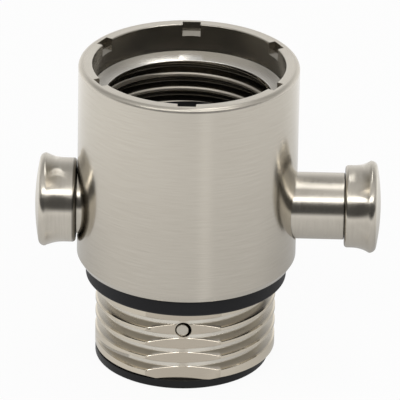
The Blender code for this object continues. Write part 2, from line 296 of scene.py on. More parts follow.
# %% [markdown]
# ## Materials
# A finish is worked out as sums on the surface's own coordinates. A small class lets Python
# operators stand for Math nodes, and one function adds every other kind of node.


# %% Shader sums
class Wire:
    """An output socket; a sum on it adds a Math node."""

    def __init__(self, tree, socket):
        self.tree, self.socket = tree, socket

    def math(self, operation, first, second=0.0):
        sockets = {0: first, 1: second}
        return add_node(self.tree, "ShaderNodeMath", {"operation": operation}, sockets)

    def __add__(self, other):
        return self.math("ADD", self, other)

    def __radd__(self, other):
        return self.math("ADD", other, self)

    def __sub__(self, other):
        return self.math("SUBTRACT", self, other)

    def __rsub__(self, other):
        return self.math("SUBTRACT", other, self)

    def __mul__(self, other):
        return self.math("MULTIPLY", self, other)

    def __rmul__(self, other):
        return self.math("MULTIPLY", other, self)

    def __truediv__(self, other):
        return self.math("DIVIDE", self, other)

    def __rtruediv__(self, other):
        return self.math("DIVIDE", other, self)


# %% Nodes and new materials
def add_node(tree, kind, settings=None, sockets=None, output=0):
    """Adds a node with its settings first and then its sockets, and gives one output, if any."""
    node = tree.nodes.new(kind)
    for name, value in (settings or {}).items():
        if name == "stops":
            elements = node.color_ramp.elements
            while len(elements) < len(value):
                elements.new(1.0)
            for element, (position, shade) in zip(elements, value):
                element.position = position
                element.color = (shade, shade, shade, 1.0)
        else:
            setattr(node, name, value)
    for name, value in (sockets or {}).items():
        socket = node.inputs[name]
        if isinstance(value, Wire):
            tree.links.new(value.socket, socket)
        else:
            socket.default_value = value
    return Wire(tree, node.outputs[output]) if node.outputs else None


def new_material(name, colour, roughness, metallic):
    material = bpy.data.materials.new(name)
    material.use_nodes = True
    material.diffuse_color = (*colour, 1.0)
    shader = material.node_tree.nodes["Principled BSDF"]
    shader.inputs["Base Color"].default_value = (*colour, 1.0)
    shader.inputs["Roughness"].default_value = roughness
    shader.inputs["Metallic"].default_value = metallic
    return material, material.node_tree, shader


def connect(wire, shader, socket):
    wire.tree.links.new(wire.socket, shader.inputs[socket])


# %% Coordinates, noise, bump and mixed colour
def object_coordinates(tree):
    return add_node(tree, "ShaderNodeTexCoord", output="Object")


def coordinate(tree, axis):
    """One of the piece's own coordinates: X, Y or Z."""
    return add_node(
        tree, "ShaderNodeSeparateXYZ", {}, {0: object_coordinates(tree)}, output=axis
    )


def stretched_noise(tree, scale, detail=3.0, roughness=0.55):
    """Noise on the piece's own coordinates, with a separate density per metre along X, Y and Z."""
    mapping = add_node(
        tree, "ShaderNodeMapping", {}, {"Vector": object_coordinates(tree), "Scale": scale}
    )
    return add_node(
        tree,
        "ShaderNodeTexNoise",
        {},
        {"Vector": mapping, "Scale": 1.0, "Detail": detail, "Roughness": roughness},
    )


def bump(tree, height, distance):
    return add_node(tree, "ShaderNodeBump", {}, {"Height": height, "Distance": distance})


def mix_colour(tree, factor, first, second):
    """The Mix node in colour mode keeps sockets 6 and 7 for its two colours."""
    colours = [c if isinstance(c, Wire) else (*c, 1) for c in (first, second)]
    sockets = {0: factor, 6: colours[0], 7: colours[1]}
    return add_node(tree, "ShaderNodeMix", {"data_type": "RGBA"}, sockets, output=2)


# %% [markdown]
# ## Masks
# A mask is 1 where a finish applies and falls smoothly to 0 beside it. On turned pieces it only
# has to know how far a point is from the axis and how high up it is. Ends of masks are given in
# millimetres on the piece.


# %% Masks on a turned piece
def from_axis(tree):
    """Distance from the Z axis, and height."""
    flat = add_node(
        tree, "ShaderNodeMapping", {}, {"Vector": object_coordinates(tree), "Scale": (1, 1, 0)}
    )
    radius = add_node(tree, "ShaderNodeVectorMath", {"operation": "LENGTH"}, {0: flat}, output=1)
    return radius, coordinate(tree, "Z")


def ramp(tree, value, start, end):
    """Climbs smoothly from 0 at start to 1 at end; with start above end it falls."""
    low, high = sorted((start, end))
    rise = add_node(
        tree,
        "ShaderNodeMapRange",
        {"interpolation_type": "SMOOTHSTEP"},
        {"Value": value, "From Min": low, "From Max": high},
    )
    return rise if start < end else 1 - rise


def mask(tree, value, span):
    """A ramp over a span (start, end) in millimetres."""
    start, end = span
    return ramp(tree, value, start * MM, end * MM)


def band(tree, value, rising, falling):
    """1 between two spans, the first where it climbs and the second where it falls."""
    return mask(tree, value, rising) * mask(tree, value, falling)


# %% [markdown]
# ## Nickel
# All the metal but the pin is the same nickel plate, a little warmer than steel. Brushing leaves
# lines that are long one way and very fine across, so noise that is stretched along the brush
# changes the plate's tone, its roughness and, through a bump, its surface. The pin's steel is made
# the same way.

# %% Nickel plate
NICKEL_DARK = (0.530, 0.488, 0.418)
NICKEL_LIGHT = (0.665, 0.624, 0.548)
NICKEL_HIGHLIGHT = (0.800, 0.760, 0.680)  # painted highlight, on the polished domes and on the spout's roots
PAINTED_SHADE = (0.075, 0.068, 0.056)  # painted shade, in the bore, on the knobs' inner faces and in the grooves
PATCHES = (60.0, 60.0, 60.0)  # broad clouds of tone, per metre


def nickel(name, scale, roughness, spread, height):
    """Nickel plate whose brush lines are drawn by stretched noise."""
    material, tree, shader = new_material(name, NICKEL_LIGHT, roughness, 1.0)
    lines = stretched_noise(tree, scale, detail=4.0, roughness=0.6)
    clouds = stretched_noise(tree, PATCHES, detail=2.0)
    tone = 0.5 + (lines - 0.5) * 0.9 + (clouds - 0.5) * 0.7
    colour = mix_colour(tree, tone, NICKEL_DARK, NICKEL_LIGHT)
    rough = roughness + (lines - 0.5) * spread + (clouds - 0.5) * spread
    connect(colour, shader, "Base Color")
    connect(rough, shader, "Roughness")
    connect(bump(tree, lines, height), shader, "Normal")
    return material, shader, colour, rough


# %% [markdown]
# ### The sleeve's finish
# The sleeve is brushed round its axis, so its noise is long across and very short in height, and
# its highlights are drawn out by a constant anisotropy. Its bore is a little rougher, and a painted
# shade under a mask darkens it. The rim's top was faced off and is a little rougher.

# %% Brushed nickel
BORE_WALL = (11.96, 11.90)  # distance from the axis
UNDER_RIM = (36.66, 36.60)  # height
RIM_OUTSIDE, RIM_TOP = (12.05, 12.15), (36.15, 36.35)
# painted shade in the bore: how strongly its colour is darkened
BORE_SHADE = 0.45
brushed_nickel, shader, colour, rough = nickel(
    "brushed_nickel", scale=(320, 320, 8000), roughness=0.19, spread=0.07, height=2e-6
)
shader.inputs["Anisotropic"].default_value = 0.5
shader.inputs["Anisotropic Rotation"].default_value = 0.25
tree = brushed_nickel.node_tree
radius, height = from_axis(tree)
inside = mask(tree, radius, BORE_WALL) * mask(tree, height, UNDER_RIM)
rim = mask(tree, height, RIM_TOP) * mask(tree, radius, RIM_OUTSIDE)
# painted shade in the bore
connect(mix_colour(tree, inside * BORE_SHADE, colour, PAINTED_SHADE), shader, "Base Color")
connect(rough + inside * 0.06 + rim * 0.15, shader, "Roughness")
print("sleeve:", brushed_nickel.name, len(tree.nodes), "nodes")

# %% [markdown]
# ### The plunger's finish
# Stem and knobs were turned about X and brushed the same way. The domes at the ends are handled
# and polished, and get a painted highlight; the knobs' inner faces get a painted shade.

# %% Satin nickel
DOMES = (21.75, 21.95), (-16.9, -17.1)  # along X, from the rim of each dome outwards
LEFT_FACE = (-13.30, -13.05), (-12.70, -12.76)
RIGHT_FACE = (18.12, 18.20), (18.36, 18.29)
# painted shade on the knobs' inner faces: how strongly their colour is darkened
FACE_SHADE = 0.7
satin_nickel, shader, colour, _ = nickel(
    "satin_nickel", scale=(6000, 300, 300), roughness=0.23, spread=0.08, height=3e-6
)
shader.inputs["Anisotropic"].default_value = 0.9
tree = satin_nickel.node_tree
along = coordinate(tree, "X")
domes = mask(tree, along, DOMES[0]) + mask(tree, along, DOMES[1])
# painted highlight on the domes
colour = mix_colour(tree, domes, colour, NICKEL_HIGHLIGHT)
# painted shade on the knobs' inner faces
faces = band(tree, along, *LEFT_FACE) + band(tree, along, *RIGHT_FACE)
connect(mix_colour(tree, faces * FACE_SHADE, colour, PAINTED_SHADE), shader, "Base Color")
print("plunger:", satin_nickel.name, len(tree.nodes), "nodes")

# %% [markdown]
# ### The core's finish
# The core is plated over fresh thread cutting and stays bright. Its plate looks warmer outside,
# where it isn't brushed. The socket's ring and the spout's flat roots get a painted highlight, and
# the socket's grooves and the spout's flanks a painted shade. The flats are told apart by their
# distance along Y, and all other zones by their distance from the axis and their height.

# %% Bright nickel: where each zone lies
SOCKET_PART, SOCKET_RIM, CRESTS_END = (25, 26), (32.74, 32.80), (32.5, 32.3)  # heights
SOCKET_ROOTS, SOCKET_CRESTS = (9.78, 9.86), (9.78, 9.70)  # distances from the axis
SPOUT_SKIN, UNDER_CRESTS, ABOVE_ROOTS = (9.1, 9.2), (10.36, 10.20), (9.60, 9.66)  # the same
ON_FLAT = (9.50, 9.55)  # distance along Y
bright_nickel, shader, colour, rough = nickel(
    "bright_nickel", scale=(300, 300, 1500), roughness=0.12, spread=0.08, height=1.2e-6
)
tree = bright_nickel.node_tree
radius, height = from_axis(tree)
depth = coordinate(tree, "Y")
in_socket = mask(tree, height, SOCKET_PART)
socket_rim = mask(tree, height, SOCKET_RIM)
socket_roots = in_socket * mask(tree, radius, SOCKET_ROOTS) * (1 - socket_rim)
socket_crests = in_socket * mask(tree, radius, SOCKET_CRESTS) * mask(tree, height, CRESTS_END)
on_flat = mask(tree, depth.math("ABSOLUTE", depth), ON_FLAT)
off_flat = (1 - in_socket) * (1 - on_flat)
spout_skin = off_flat * mask(tree, radius, SPOUT_SKIN)
above_roots = mask(tree, radius, ABOVE_ROOTS)
spout_flanks = spout_skin * mask(tree, radius, UNDER_CRESTS) * above_roots
spout_roots = spout_skin * (1 - above_roots)
print("zones of the core:", len(tree.nodes), "nodes")

# %% Bright nickel: colour and roughness of each zone
WARM = (0.860, 0.760, 0.600)  # the plate outside, off the flats
WARM_FLAT = (0.560, 0.480, 0.370)  # the plate on the flats
# painted highlight on the socket's ring
RING_HIGHLIGHT = (0.950, 0.920, 0.860)
WARMTH, FLAT_WARMTH = 0.45, 0.55
# painted shade in the socket's roots and on the spout's flanks, painted highlight on its roots
SOCKET_ROOT_SHADE, FLANK_SHADE, SPOUT_ROOT_HIGHLIGHT = 0.8, 0.2, 0.8
groove_shade = socket_roots * SOCKET_ROOT_SHADE + spout_flanks * FLANK_SHADE
colour = mix_colour(tree, off_flat * (1 - spout_flanks) * WARMTH, colour, WARM)
colour = mix_colour(tree, (1 - in_socket) * on_flat * FLAT_WARMTH, colour, WARM_FLAT)
# painted shade in the grooves
colour = mix_colour(tree, groove_shade, colour, PAINTED_SHADE)
# painted highlight on the spout's roots
colour = mix_colour(tree, spout_roots * SPOUT_ROOT_HIGHLIGHT, colour, NICKEL_HIGHLIGHT)
# painted highlight on the socket's ring
connect(mix_colour(tree, socket_rim, colour, RING_HIGHLIGHT), shader, "Base Color")
rough = rough + socket_crests * 0.4 + socket_roots * 0.08
rough = rough + (spout_flanks + spout_roots) * 0.16 + socket_rim * 0.09
connect(rough, shader, "Roughness")
print("core:", bright_nickel.name, len(tree.nodes), "nodes")

# %% [markdown]
# ### The pin's finish
# Only the end of the steel pin shows. It is neither turned nor brushed, so its noise is the same
# every way.

# %% Steel
steel, *_ = nickel(
    "steel_pin", scale=(900, 900, 900), roughness=0.24, spread=0.12, height=3e-6
)
print("pin:", steel.name)

# %% [markdown]
# ## Black rubber and plastic
# The seals are moulded rubber with a very fine grain and a weak sheen. The outlet insert is the
# same black in a harder, slightly glossier plastic.


# %% Black finishes
def moulded(name, colour, roughness, grain, height):
    material, tree, shader = new_material(name, colour, roughness, 0.0)
    speckle = stretched_noise(tree, (grain, grain, grain), detail=3.0)
    clouds = stretched_noise(tree, (180, 180, 180), detail=2.0)
    pale = tuple(1.6 * c for c in colour)
    connect(mix_colour(tree, clouds, colour, pale), shader, "Base Color")
    connect(roughness + (speckle - 0.5) * 0.2, shader, "Roughness")
    connect(bump(tree, speckle, height), shader, "Normal")
    shader.inputs["Specular IOR Level"].default_value = 0.3
    return material


black_rubber = moulded(
    "black_rubber", (0.0052, 0.0052, 0.0062), roughness=0.5, grain=5200, height=6e-6
)
black_plastic = moulded(
    "black_plastic", (0.0045, 0.0045, 0.0050), roughness=0.4, grain=3800, height=4e-6
)
print("blacks:", black_rubber.name, black_plastic.name)

# %% [markdown]
# ## What each piece stands for
# The export and the joint need to know what each finished piece is: its finish, the body that it
# moves with, and the plain solid whose place it takes.


# %% Hand a piece over to the working model
def finish_piece(piece, material, slot, body, *nodes):
    """Gives the piece its finish, its body and the nodes that it stands for."""
    piece.data.materials.clear()
    piece.data.materials.append(material)
    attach(piece, body)
    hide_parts(*nodes)
    print(piece.name, len(piece.data.polygons), "faces")


# %% [markdown]
# ## Outer sleeve
# A tube of one-inch bar with a soft outer edge at its rim and a chamfer at its foot. Six notches
# for a spanner are cut into the rim's inner edge, each with a floor that slopes away inwards, and
# a hole on each side lets the plunger through.

# %% Turn the sleeve
SLEEVE_BORE_R = 11.1 * MM
CHAMFER_IN, CHAMFER_UP = 0.5 * MM, 0.8 * MM
foot_z, rim_z = sleeve_low.z, sleeve_high.z
sleeve = turned(
    "outer_sleeve",
    rounded(
        [
            (SLEEVE_BORE_R, foot_z, 0.1 * MM),
            (SLEEVE_R - CHAMFER_IN, foot_z, 0.15 * MM),
            (SLEEVE_R, foot_z + CHAMFER_UP, 0.3 * MM),
            (SLEEVE_R, rim_z, 0.5 * MM),
            (SLEEVE_BORE_R, rim_z, 0.12 * MM),
        ],
        steps=5,
    ),
)
print("sleeve turned:", len(sleeve.data.polygons), "faces")

# %% [markdown]
# ### Notches and side holes
# Each notch is milled from above and has a short flat floor by its wall, from which the floor
# slopes away. The cutter is a block whose floor is split by a bisect, so that its inner end can be
# pulled down. It is shaped once and copied to the six places.

# %% Shape one notch cutter
NOTCH_WALL_R = 11.85 * MM
NOTCH_END_R = SLEEVE_BORE_R - 0.6 * MM
NOTCH_HALF = 1.05 * MM
NOTCH_FLOOR = rim_z - 1.0 * MM
NOTCH_FLAT = 0.3 * MM
BLOCK = 2 * MM  # the cutter's height
NEAR = 0.01 * MM
deselect_all()
bpy.ops.mesh.primitive_cube_add(size=1)
block = bpy.context.object
block.name = "notch_tool"
block.scale = (NOTCH_WALL_R - NOTCH_END_R, 2 * NOTCH_HALF, BLOCK)
block.location = ((NOTCH_WALL_R + NOTCH_END_R) / 2, 0, NOTCH_FLOOR + BLOCK / 2)
apply_place(block)
edit_all()
bpy.ops.mesh.bisect(plane_co=(NOTCH_WALL_R - NOTCH_FLAT, 0, 0), plane_no=(1, 0, 0), use_fill=False)
bpy.ops.object.mode_set(mode="OBJECT")
for vertex in block.data.vertices:
    if vertex.co.x < NOTCH_END_R + NEAR and vertex.co.z < NOTCH_FLOOR + NEAR:
        vertex.co.z -= NOTCH_WALL_R - NOTCH_FLAT - NOTCH_END_R
print("notch cutter:", len(block.data.vertices), "points")

# %% Cut the notches and the side holes
NOTCHES, FIRST_NOTCH = 6, 30  # the first one's angle, in degrees
SIDE_HOLE_R = 4.0 * MM
notch_tools = []
for i in range(NOTCHES):
    tool = block.copy()
    tool.data = block.data.copy()
    bpy.context.scene.collection.objects.link(tool)
    tool.rotation_euler.z = math.radians(FIRST_NOTCH + 360 / NOTCHES * i)
    apply_place(tool)
    notch_tools.append(tool)
bpy.data.objects.remove(block)
cut(sleeve, *notch_tools)
cut(sleeve, rod_tool("side_hole", SIDE_HOLE_R, -REACH, REACH, "X", centre=(0, 0, PLUNGER_Z)))
smooth(sleeve)
finish_piece(sleeve, brushed_nickel, "brushed_nickel", "valve", "outer_sleeve")

# %% [markdown]
# ## Valve core
# The core is turned in one piece: the threaded spout, the neck behind the seal, the body inside
# the sleeve and the threaded socket, whose top is a shallow cone. The socket goes down to a pocket
# for the washer, and a port leads on from there to the wide bore of the spout.

# %% Turn the core
CORE_BOTTOM = core_low.z - 0.25 * MM
FOOT_R = 10.05 * MM
FOOT_CHAMFER = 0.3 * MM
NECK_R = 9.3 * MM
THREAD_TOP = seal_low.z + 0.4 * MM
NECK_FOOT = THREAD_TOP + 0.6 * MM
SOCKET_CREST_R = 9.6 * MM
CONE_TOP = core_high.z - 0.02 * MM
CONE_FOOT = core_high.z - 0.62 * MM
SPOUT_BORE_R = 7.2 * MM
POCKET_R = 9.35 * MM
POCKET_TOP = washer_high.z + 0.15 * MM
PORT_R = 2.3 * MM
SOCKET_FLOOR = washer_low.z - GAP
CHAMBER_CEILING = 13.2 * MM
core = turned(
    "valve_core",
    rounded(
        [
            (SPOUT_BORE_R, CORE_BOTTOM, 0.1 * MM),
            (FOOT_R, CORE_BOTTOM),
            (CREST_R, CORE_BOTTOM + FOOT_CHAMFER, 0.05 * MM),
            (CREST_R, THREAD_TOP),
            (NECK_R, NECK_FOOT),
            (NECK_R, seal_high.z + GAP),
            (CORE_R, seal_high.z + GAP),
            (CORE_R, CONE_TOP),
            (SOCKET_CREST_R, CONE_FOOT, 0.1 * MM),
            (SOCKET_CREST_R, POCKET_TOP),
            (POCKET_R, POCKET_TOP),
            (POCKET_R, SOCKET_FLOOR),
            (PORT_R, SOCKET_FLOOR),
            (PORT_R, CHAMBER_CEILING),
            (SPOUT_BORE_R, CHAMBER_CEILING, 0.6 * MM),
        ],
        steps=3,
    ),
)
print("core turned:", len(core.data.polygons), "faces")

# %% [markdown]
# ### Threads
# Both threads are cut with a helical tool, which is how the real ones are made. Pipe thread has
# flanks at 27.5 degrees. The spout's crests keep a narrow flat from the bar and its roots are cut
# flat, and the socket's crests are rounded by the tap. Each groove is drawn as the upper half of
# its section and mirrored, and stands a little out of the metal.

# %% Draw the sections of the two grooves
FLANK = math.radians(27.5)
GROOVE_DEPTH = 0.94 * MM  # of the spout's thread
SPOUT_ROOT_HALF = 0.25 * MM
SPOUT_ROOT_ROUND = 0.07 * MM
SPOUT_CREST_HALF = 0.17 * MM
SOCKET_ROOT_HALF = 0.26 * MM
SOCKET_CREST_ROUND = 0.30 * MM
LAP = 0.5 * MM  # how far a groove cutter stands out of the metal


def arc(centre_r, centre_half, radius, start, end, steps=4):
    """Points (r, half width) on an arc, angles in degrees from the r axis."""
    points = []
    for k in range(steps + 1):
        angle = math.radians(start + (end - start) * k / steps)
        points.append((centre_r + radius * math.cos(angle), centre_half + radius * math.sin(angle)))
    return points


def both_sides(upper):
    return upper + [(r, -half) for r, half in reversed(upper)]


def spout_section():
    rounding = SPOUT_ROOT_ROUND
    centre_r = CREST_R - GROOVE_DEPTH + rounding
    edge = PITCH / 2 - SPOUT_CREST_HALF
    upper = arc(centre_r, SPOUT_ROOT_HALF - rounding, rounding, 180, 117.5)
    upper += [(CREST_R - 0.07 * MM, edge - 0.035 * MM), (CREST_R - 0.015 * MM, edge)]
    upper += [(CREST_R + 0.01 * MM, edge + 0.05 * MM), (CREST_R + LAP, edge + 0.05 * MM)]
    return both_sides(upper)


def socket_section():
    rounding = SOCKET_CREST_ROUND
    crest = arc(SOCKET_CREST_R + rounding, PITCH / 2, rounding, 242.5, 184)
    crest_r, crest_half = crest[0]
    root_r = crest_r + (crest_half - SOCKET_ROOT_HALF) / math.tan(FLANK)
    upper = [(root_r + 0.04 * MM, SOCKET_ROOT_HALF - 0.08 * MM), (root_r, SOCKET_ROOT_HALF)]
    upper += crest + [(SOCKET_CREST_R - LAP, crest[-1][1])]
    return both_sides(upper)


# %% Cut both threads
FRONT, BACK = -math.pi / 2, math.pi / 2
SPOUT_GROOVE_AT_FRONT = 2.90 * MM  # the lowest full groove's middle, at the front
SPOUT_LOW, SPOUT_HIGH = 2.50 * MM, 9.35 * MM
SOCKET_GROOVE_AT_BACK = 28.23 * MM
SOCKET_LOW = SOCKET_GROOVE_AT_BACK - 0.45 * PITCH
SOCKET_HIGH = SOCKET_GROOVE_AT_BACK + 2.3 * PITCH
spout_tool = thread_tool(
    "spout_tool",
    spout_section(),
    SPOUT_LOW,
    SPOUT_HIGH,
    start_angle=FRONT - (SPOUT_GROOVE_AT_FRONT - SPOUT_LOW) / PITCH * math.tau,
    lift=GROOVE_DEPTH,
    fades=(0.12, 0.18),
)
socket_tool = thread_tool(
    "socket_tool",
    socket_section(),
    SOCKET_LOW,
    SOCKET_HIGH,
    start_angle=BACK + (SOCKET_LOW - SOCKET_GROOVE_AT_BACK) / PITCH * math.tau,
    lift=-GROOVE_DEPTH,
    fades=(0.25, 0.25),
)
cut(core, spout_tool, socket_tool)
print("threads cut:", len(core.data.polygons), "faces")

# %% [markdown]
# ### Flats and holes
# Two flats for a spanner are milled across the finished thread, and leave a row of lens shapes
# where they meet its crests. The plunger's bore is drilled across the body, and the pin's hole
# through the front flat.

# %% Mill the flats, and drill the cross bore and the pin hole
FLAT_Y = 9.56 * MM
FLATS_TOP = seal_low.z - GAP
CROSS_BORE_R = 3.9 * MM
WIDE = 2 * CORE_R
cut(
    core,
    box_tool("front_flat", (-WIDE, -WIDE, 0), (WIDE, -FLAT_Y, FLATS_TOP)),
    box_tool("back_flat", (-WIDE, FLAT_Y, 0), (WIDE, WIDE, FLATS_TOP)),
    rod_tool("cross_bore", CROSS_BORE_R, -REACH, REACH, "X", centre=(0, 0, PLUNGER_Z)),
)
PIN_Z = (pin_low.z + pin_high.z) / 2
PIN_HOLE_R = 0.95 * MM
PIN_HOLE_Z = PIN_Z + PIN_HOLE_R - pin_high.x - GAP
PIN_HOLE_Y = -12 * MM, -6.5 * MM
PIN_STEPS = 48  # facets round the pin and its hole
cut(
    core,
    rod_tool("pin_hole", PIN_HOLE_R, *PIN_HOLE_Y, "Y", PIN_STEPS, centre=(0, 0, PIN_HOLE_Z)),
)
print("flats and holes cut:", len(core.data.polygons), "faces")

# %% [markdown]
# ### Broken edges
# A milled edge is too sharp to handle, so it is broken with a fine file. The upper edge of each
# lens, where the flat meets the flank of the groove above it, is the one that catches the light.
# Those edges are found by their place and by the normals of the faces that meet there, and get a
# bevel of one facet, which is then tipped a little by raising its lower points. The normals are
# copied, because Blender frees the ones that it keeps when edit mode opens.

# %% Find the upper edges of the flats
BREAK = 0.05 * MM
TOUCHING = 0.001 * MM
ALONG_Y, UPWARDS = 0.99, 0.3  # least part of a normal that points that way


def lies_on_flat(point):
    return abs(abs(point.y) - FLAT_Y) < TOUCHING


def clears_pin_hole(point):
    return math.hypot(point.x, point.z - PIN_HOLE_Z) > PIN_HOLE_R + 2 * BREAK


normals_at = {}
for face in core.data.polygons:
    for key in face.edge_keys:
        normals_at.setdefault(key, []).append(face.normal.copy())
select_only(core)
bpy.ops.object.mode_set(mode="EDIT")
bpy.ops.mesh.select_mode(type="EDGE")
bpy.ops.mesh.select_all(action="DESELECT")
bpy.ops.object.mode_set(mode="OBJECT")
broken = 0
for edge in core.data.edges:
    ends = [core.data.vertices[i].co for i in edge.vertices]
    if not all(lies_on_flat(end) and clears_pin_hole(end) for end in ends):
        continue
    normals = normals_at[edge.key]
    if max(abs(n.y) for n in normals) > ALONG_Y and max(n.z for n in normals) > UPWARDS:
        edge.select = True
        broken += 1
print("edges to break:", broken)

# %% Bevel them and tip the bevel
TIP = 0.25 * BREAK
bpy.ops.object.mode_set(mode="EDIT")
bpy.ops.mesh.bevel(
    offset=BREAK, offset_type="OFFSET", segments=1, affect="EDGES", clamp_overlap=False
)
bpy.ops.mesh.select_mode(type="VERT")
bpy.ops.object.mode_set(mode="OBJECT")
for vertex in core.data.vertices:
    if vertex.select and lies_on_flat(vertex.co):
        vertex.co.z += TIP
smooth(core, 28)
finish_piece(core, bright_nickel, "bright_nickel", "valve", "valve_core")

# %% [markdown]
# ## Plunger
# The stem is a spool turned about X. Its waist lets the water past, two grooves carry O-rings, and
# a threaded stud on each end holds a knob. The knobs flare to a lip and end in a shallow dome.

# %% Turn the stem
STEM_R = 3.87 * MM
STROKE = 5.45 * MM
LEFT_END = -SLEEVE_R - GAP
RIGHT_END = -LEFT_END + STROKE
STUD_R, STUD = 2.5 * MM, 2.3 * MM
GROOVE_R, GROOVE_HALF = 2.6 * MM, 0.85 * MM
WAIST_R, WAIST_HALF = 1.9 * MM, 2.3 * MM
SOFT, SOFT_EDGE, SOFT_STUD, SOFT_WAIST = 0.06 * MM, 0.1 * MM, 0.2 * MM, 0.5 * MM  # fillets
left_ring_low, left_ring_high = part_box("left_plunger_o_ring")
right_ring_low, right_ring_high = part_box("right_plunger_o_ring")


def ring_groove(low, high):
    """The four corners of the groove whose middle is the middle of its O-ring."""
    middle = (low.x + high.x) / 2
    start, end = middle - GROOVE_HALF, middle + GROOVE_HALF
    corners = ((STEM_R, start), (GROOVE_R, start), (GROOVE_R, end), (STEM_R, end))
    return [(*corner, SOFT) for corner in corners]


stem_outline = [
    (0, LEFT_END - STUD),
    (STUD_R, LEFT_END - STUD, SOFT_STUD),
    (STUD_R, LEFT_END),
    (STEM_R, LEFT_END, SOFT_EDGE),
    *ring_groove(left_ring_low, left_ring_high),
    (STEM_R, -WAIST_HALF, SOFT),
    (WAIST_R, -WAIST_HALF, SOFT_WAIST),
    (WAIST_R, WAIST_HALF, SOFT_WAIST),
    (STEM_R, WAIST_HALF, SOFT),
    *ring_groove(right_ring_low, right_ring_high),
    (STEM_R, RIGHT_END, SOFT_EDGE),
    (STUD_R, RIGHT_END),
    (STUD_R, RIGHT_END + STUD, SOFT_STUD),
    (0, RIGHT_END + STUD),
]
stem = turned("plunger_stem", rounded(stem_outline), MEDIUM, "X", closed=False)
stem.location.z = PLUNGER_Z
apply_place(stem)
smooth(stem)
finish_piece(stem, satin_nickel, "satin_nickel", "plunger", "plunger_stem")

# %% [markdown]
# ### Knobs
# A finger hooks under a knob's flare to pull it and presses on its dome to push it. The outline is
# a straight neck and three arcs: a hollow flare that leaves the neck without a corner, a round lip,
# and a large shallow dome that the lip runs into. The dome's centre follows from the knob's length.


# %% Turn the knobs
DOME_R = 25 * MM
KNOB_STEPS = 8  # facets along each arc


def knob(name, neck_r, lip_r, flare_start, lip_at, length, lip_round, face_x, outwards):
    """A knob along X from its inner face: a straight neck, a hollow flare, a lip and a dome."""
    run, rise = lip_at - flare_start, lip_r - neck_r
    flare_r = (run * run + rise * rise) / (2 * rise)
    sweep = math.asin(run / flare_r)
    hole_r, hole_end = STUD_R + GAP, STUD + 2 * GAP
    outline = [(0, hole_end), (hole_r, hole_end), (hole_r, GAP, 0.1 * MM), (neck_r, GAP, 0.35 * MM)]
    for k in range(KNOB_STEPS + 1):
        angle = sweep * k / KNOB_STEPS
        r = neck_r + flare_r * (1 - math.cos(angle))
        outline.append((r, flare_start + flare_r * math.sin(angle)))
    dome_centre = length - DOME_R
    centre_r = lip_r - lip_round
    centre_d = dome_centre + math.sqrt((DOME_R - lip_round) ** 2 - centre_r**2)
    tangent = math.atan2(centre_d - dome_centre, centre_r)
    for k in range(1, KNOB_STEPS + 1):
        angle = tangent * k / KNOB_STEPS
        r = centre_r + lip_round * math.cos(angle)
        outline.append((r, centre_d + lip_round * math.sin(angle)))
    for k in range(1, KNOB_STEPS):
        angle = tangent + (math.pi / 2 - tangent) * k / KNOB_STEPS
        outline.append((DOME_R * math.cos(angle), dome_centre + DOME_R * math.sin(angle)))
    outline.append((0, length))
    placed = [(point[0], face_x + outwards * point[1], *point[2:]) for point in outline]
    piece = turned(name, rounded(placed), MEDIUM, "X", closed=False)
    piece.location.z = PLUNGER_Z
    apply_place(piece)
    smooth(piece, 40)
    finish_piece(piece, satin_nickel, "satin_nickel", "plunger", name)


# Neck and lip radius, where the flare starts and the lip lies, length, and the lip's rounding.
LEFT_SHAPE = [v * MM for v in (4.88, 5.40, 1.3, 3.62, 4.80, 0.7)]
RIGHT_SHAPE = [v * MM for v in (4.77, 5.34, 0.95, 2.98, 4.22, 0.8)]
knob("left_knob", *LEFT_SHAPE, LEFT_END, -1)
knob("right_knob", *RIGHT_SHAPE, RIGHT_END, 1)

# %% [markdown]
# ## Seals
# The O-rings are tori with the faint parting line that a two-part mould leaves. The shoulder seal
# and the inlet washer are flat rings with softened edges, turned like the metal pieces.


# %% O-rings
PARTING = 0.02 * MM  # how far the parting line stands out


def o_ring(name, body, along):
    low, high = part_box(name)
    middle = [(a + b) / 2 for a, b in zip(low, high)]
    across, thick = ("y", "x") if along == "X" else ("x", "z")
    section = (getattr(high, thick) - getattr(low, thick)) / 2
    major = (getattr(high, across) - getattr(low, across)) / 2 - section
    deselect_all()
    bpy.ops.mesh.primitive_torus_add(
        major_segments=96, minor_segments=24, major_radius=major, minor_radius=section
    )
    piece = bpy.context.object
    piece.name = piece.data.name = name
    # The outermost loop is drawn out a little into the parting line.
    for vertex in piece.data.vertices:
        reach = math.hypot(vertex.co.x, vertex.co.y)
        if reach > major + section * 0.999:
            vertex.co.x *= 1 + PARTING / reach
            vertex.co.y *= 1 + PARTING / reach
    if along == "X":
        piece.rotation_euler.y = math.pi / 2
    piece.location = middle
    apply_place(piece)
    smooth(piece, 60)
    finish_piece(piece, black_rubber, "black_rubber", body, name)


o_ring("left_plunger_o_ring", "plunger", "X")
o_ring("right_plunger_o_ring", "plunger", "X")
o_ring("insert_o_ring", "valve", "Z")
o_ring("flow_control_ring", "valve", "Z")


# %% Flat rings
def flat_ring(name, low, high, bore_r, edge):
    piece = turned(
        name,
        rounded(
            [
                (bore_r, low.z, edge / 2),
                (high.x, low.z, edge),
                (high.x, high.z, edge),
                (bore_r, high.z, edge / 2),
            ]
        ),
    )
    smooth(piece, 40)
    finish_piece(piece, black_rubber, "black_rubber", "valve", name)


flat_ring("shoulder_seal", seal_low, seal_high, CREST_R + GAP, edge=0.3 * MM)
flat_ring("inlet_washer", washer_low, washer_high, bore_r=6.0 * MM, edge=0.25 * MM)

# %% [markdown]
# ## Outlet insert
# A black moulding closes the spout: a flange that shows as the ring at the foot, a plate with six
# holes and a pointed post, and a spigot with a groove for its O-ring and one for the pin.

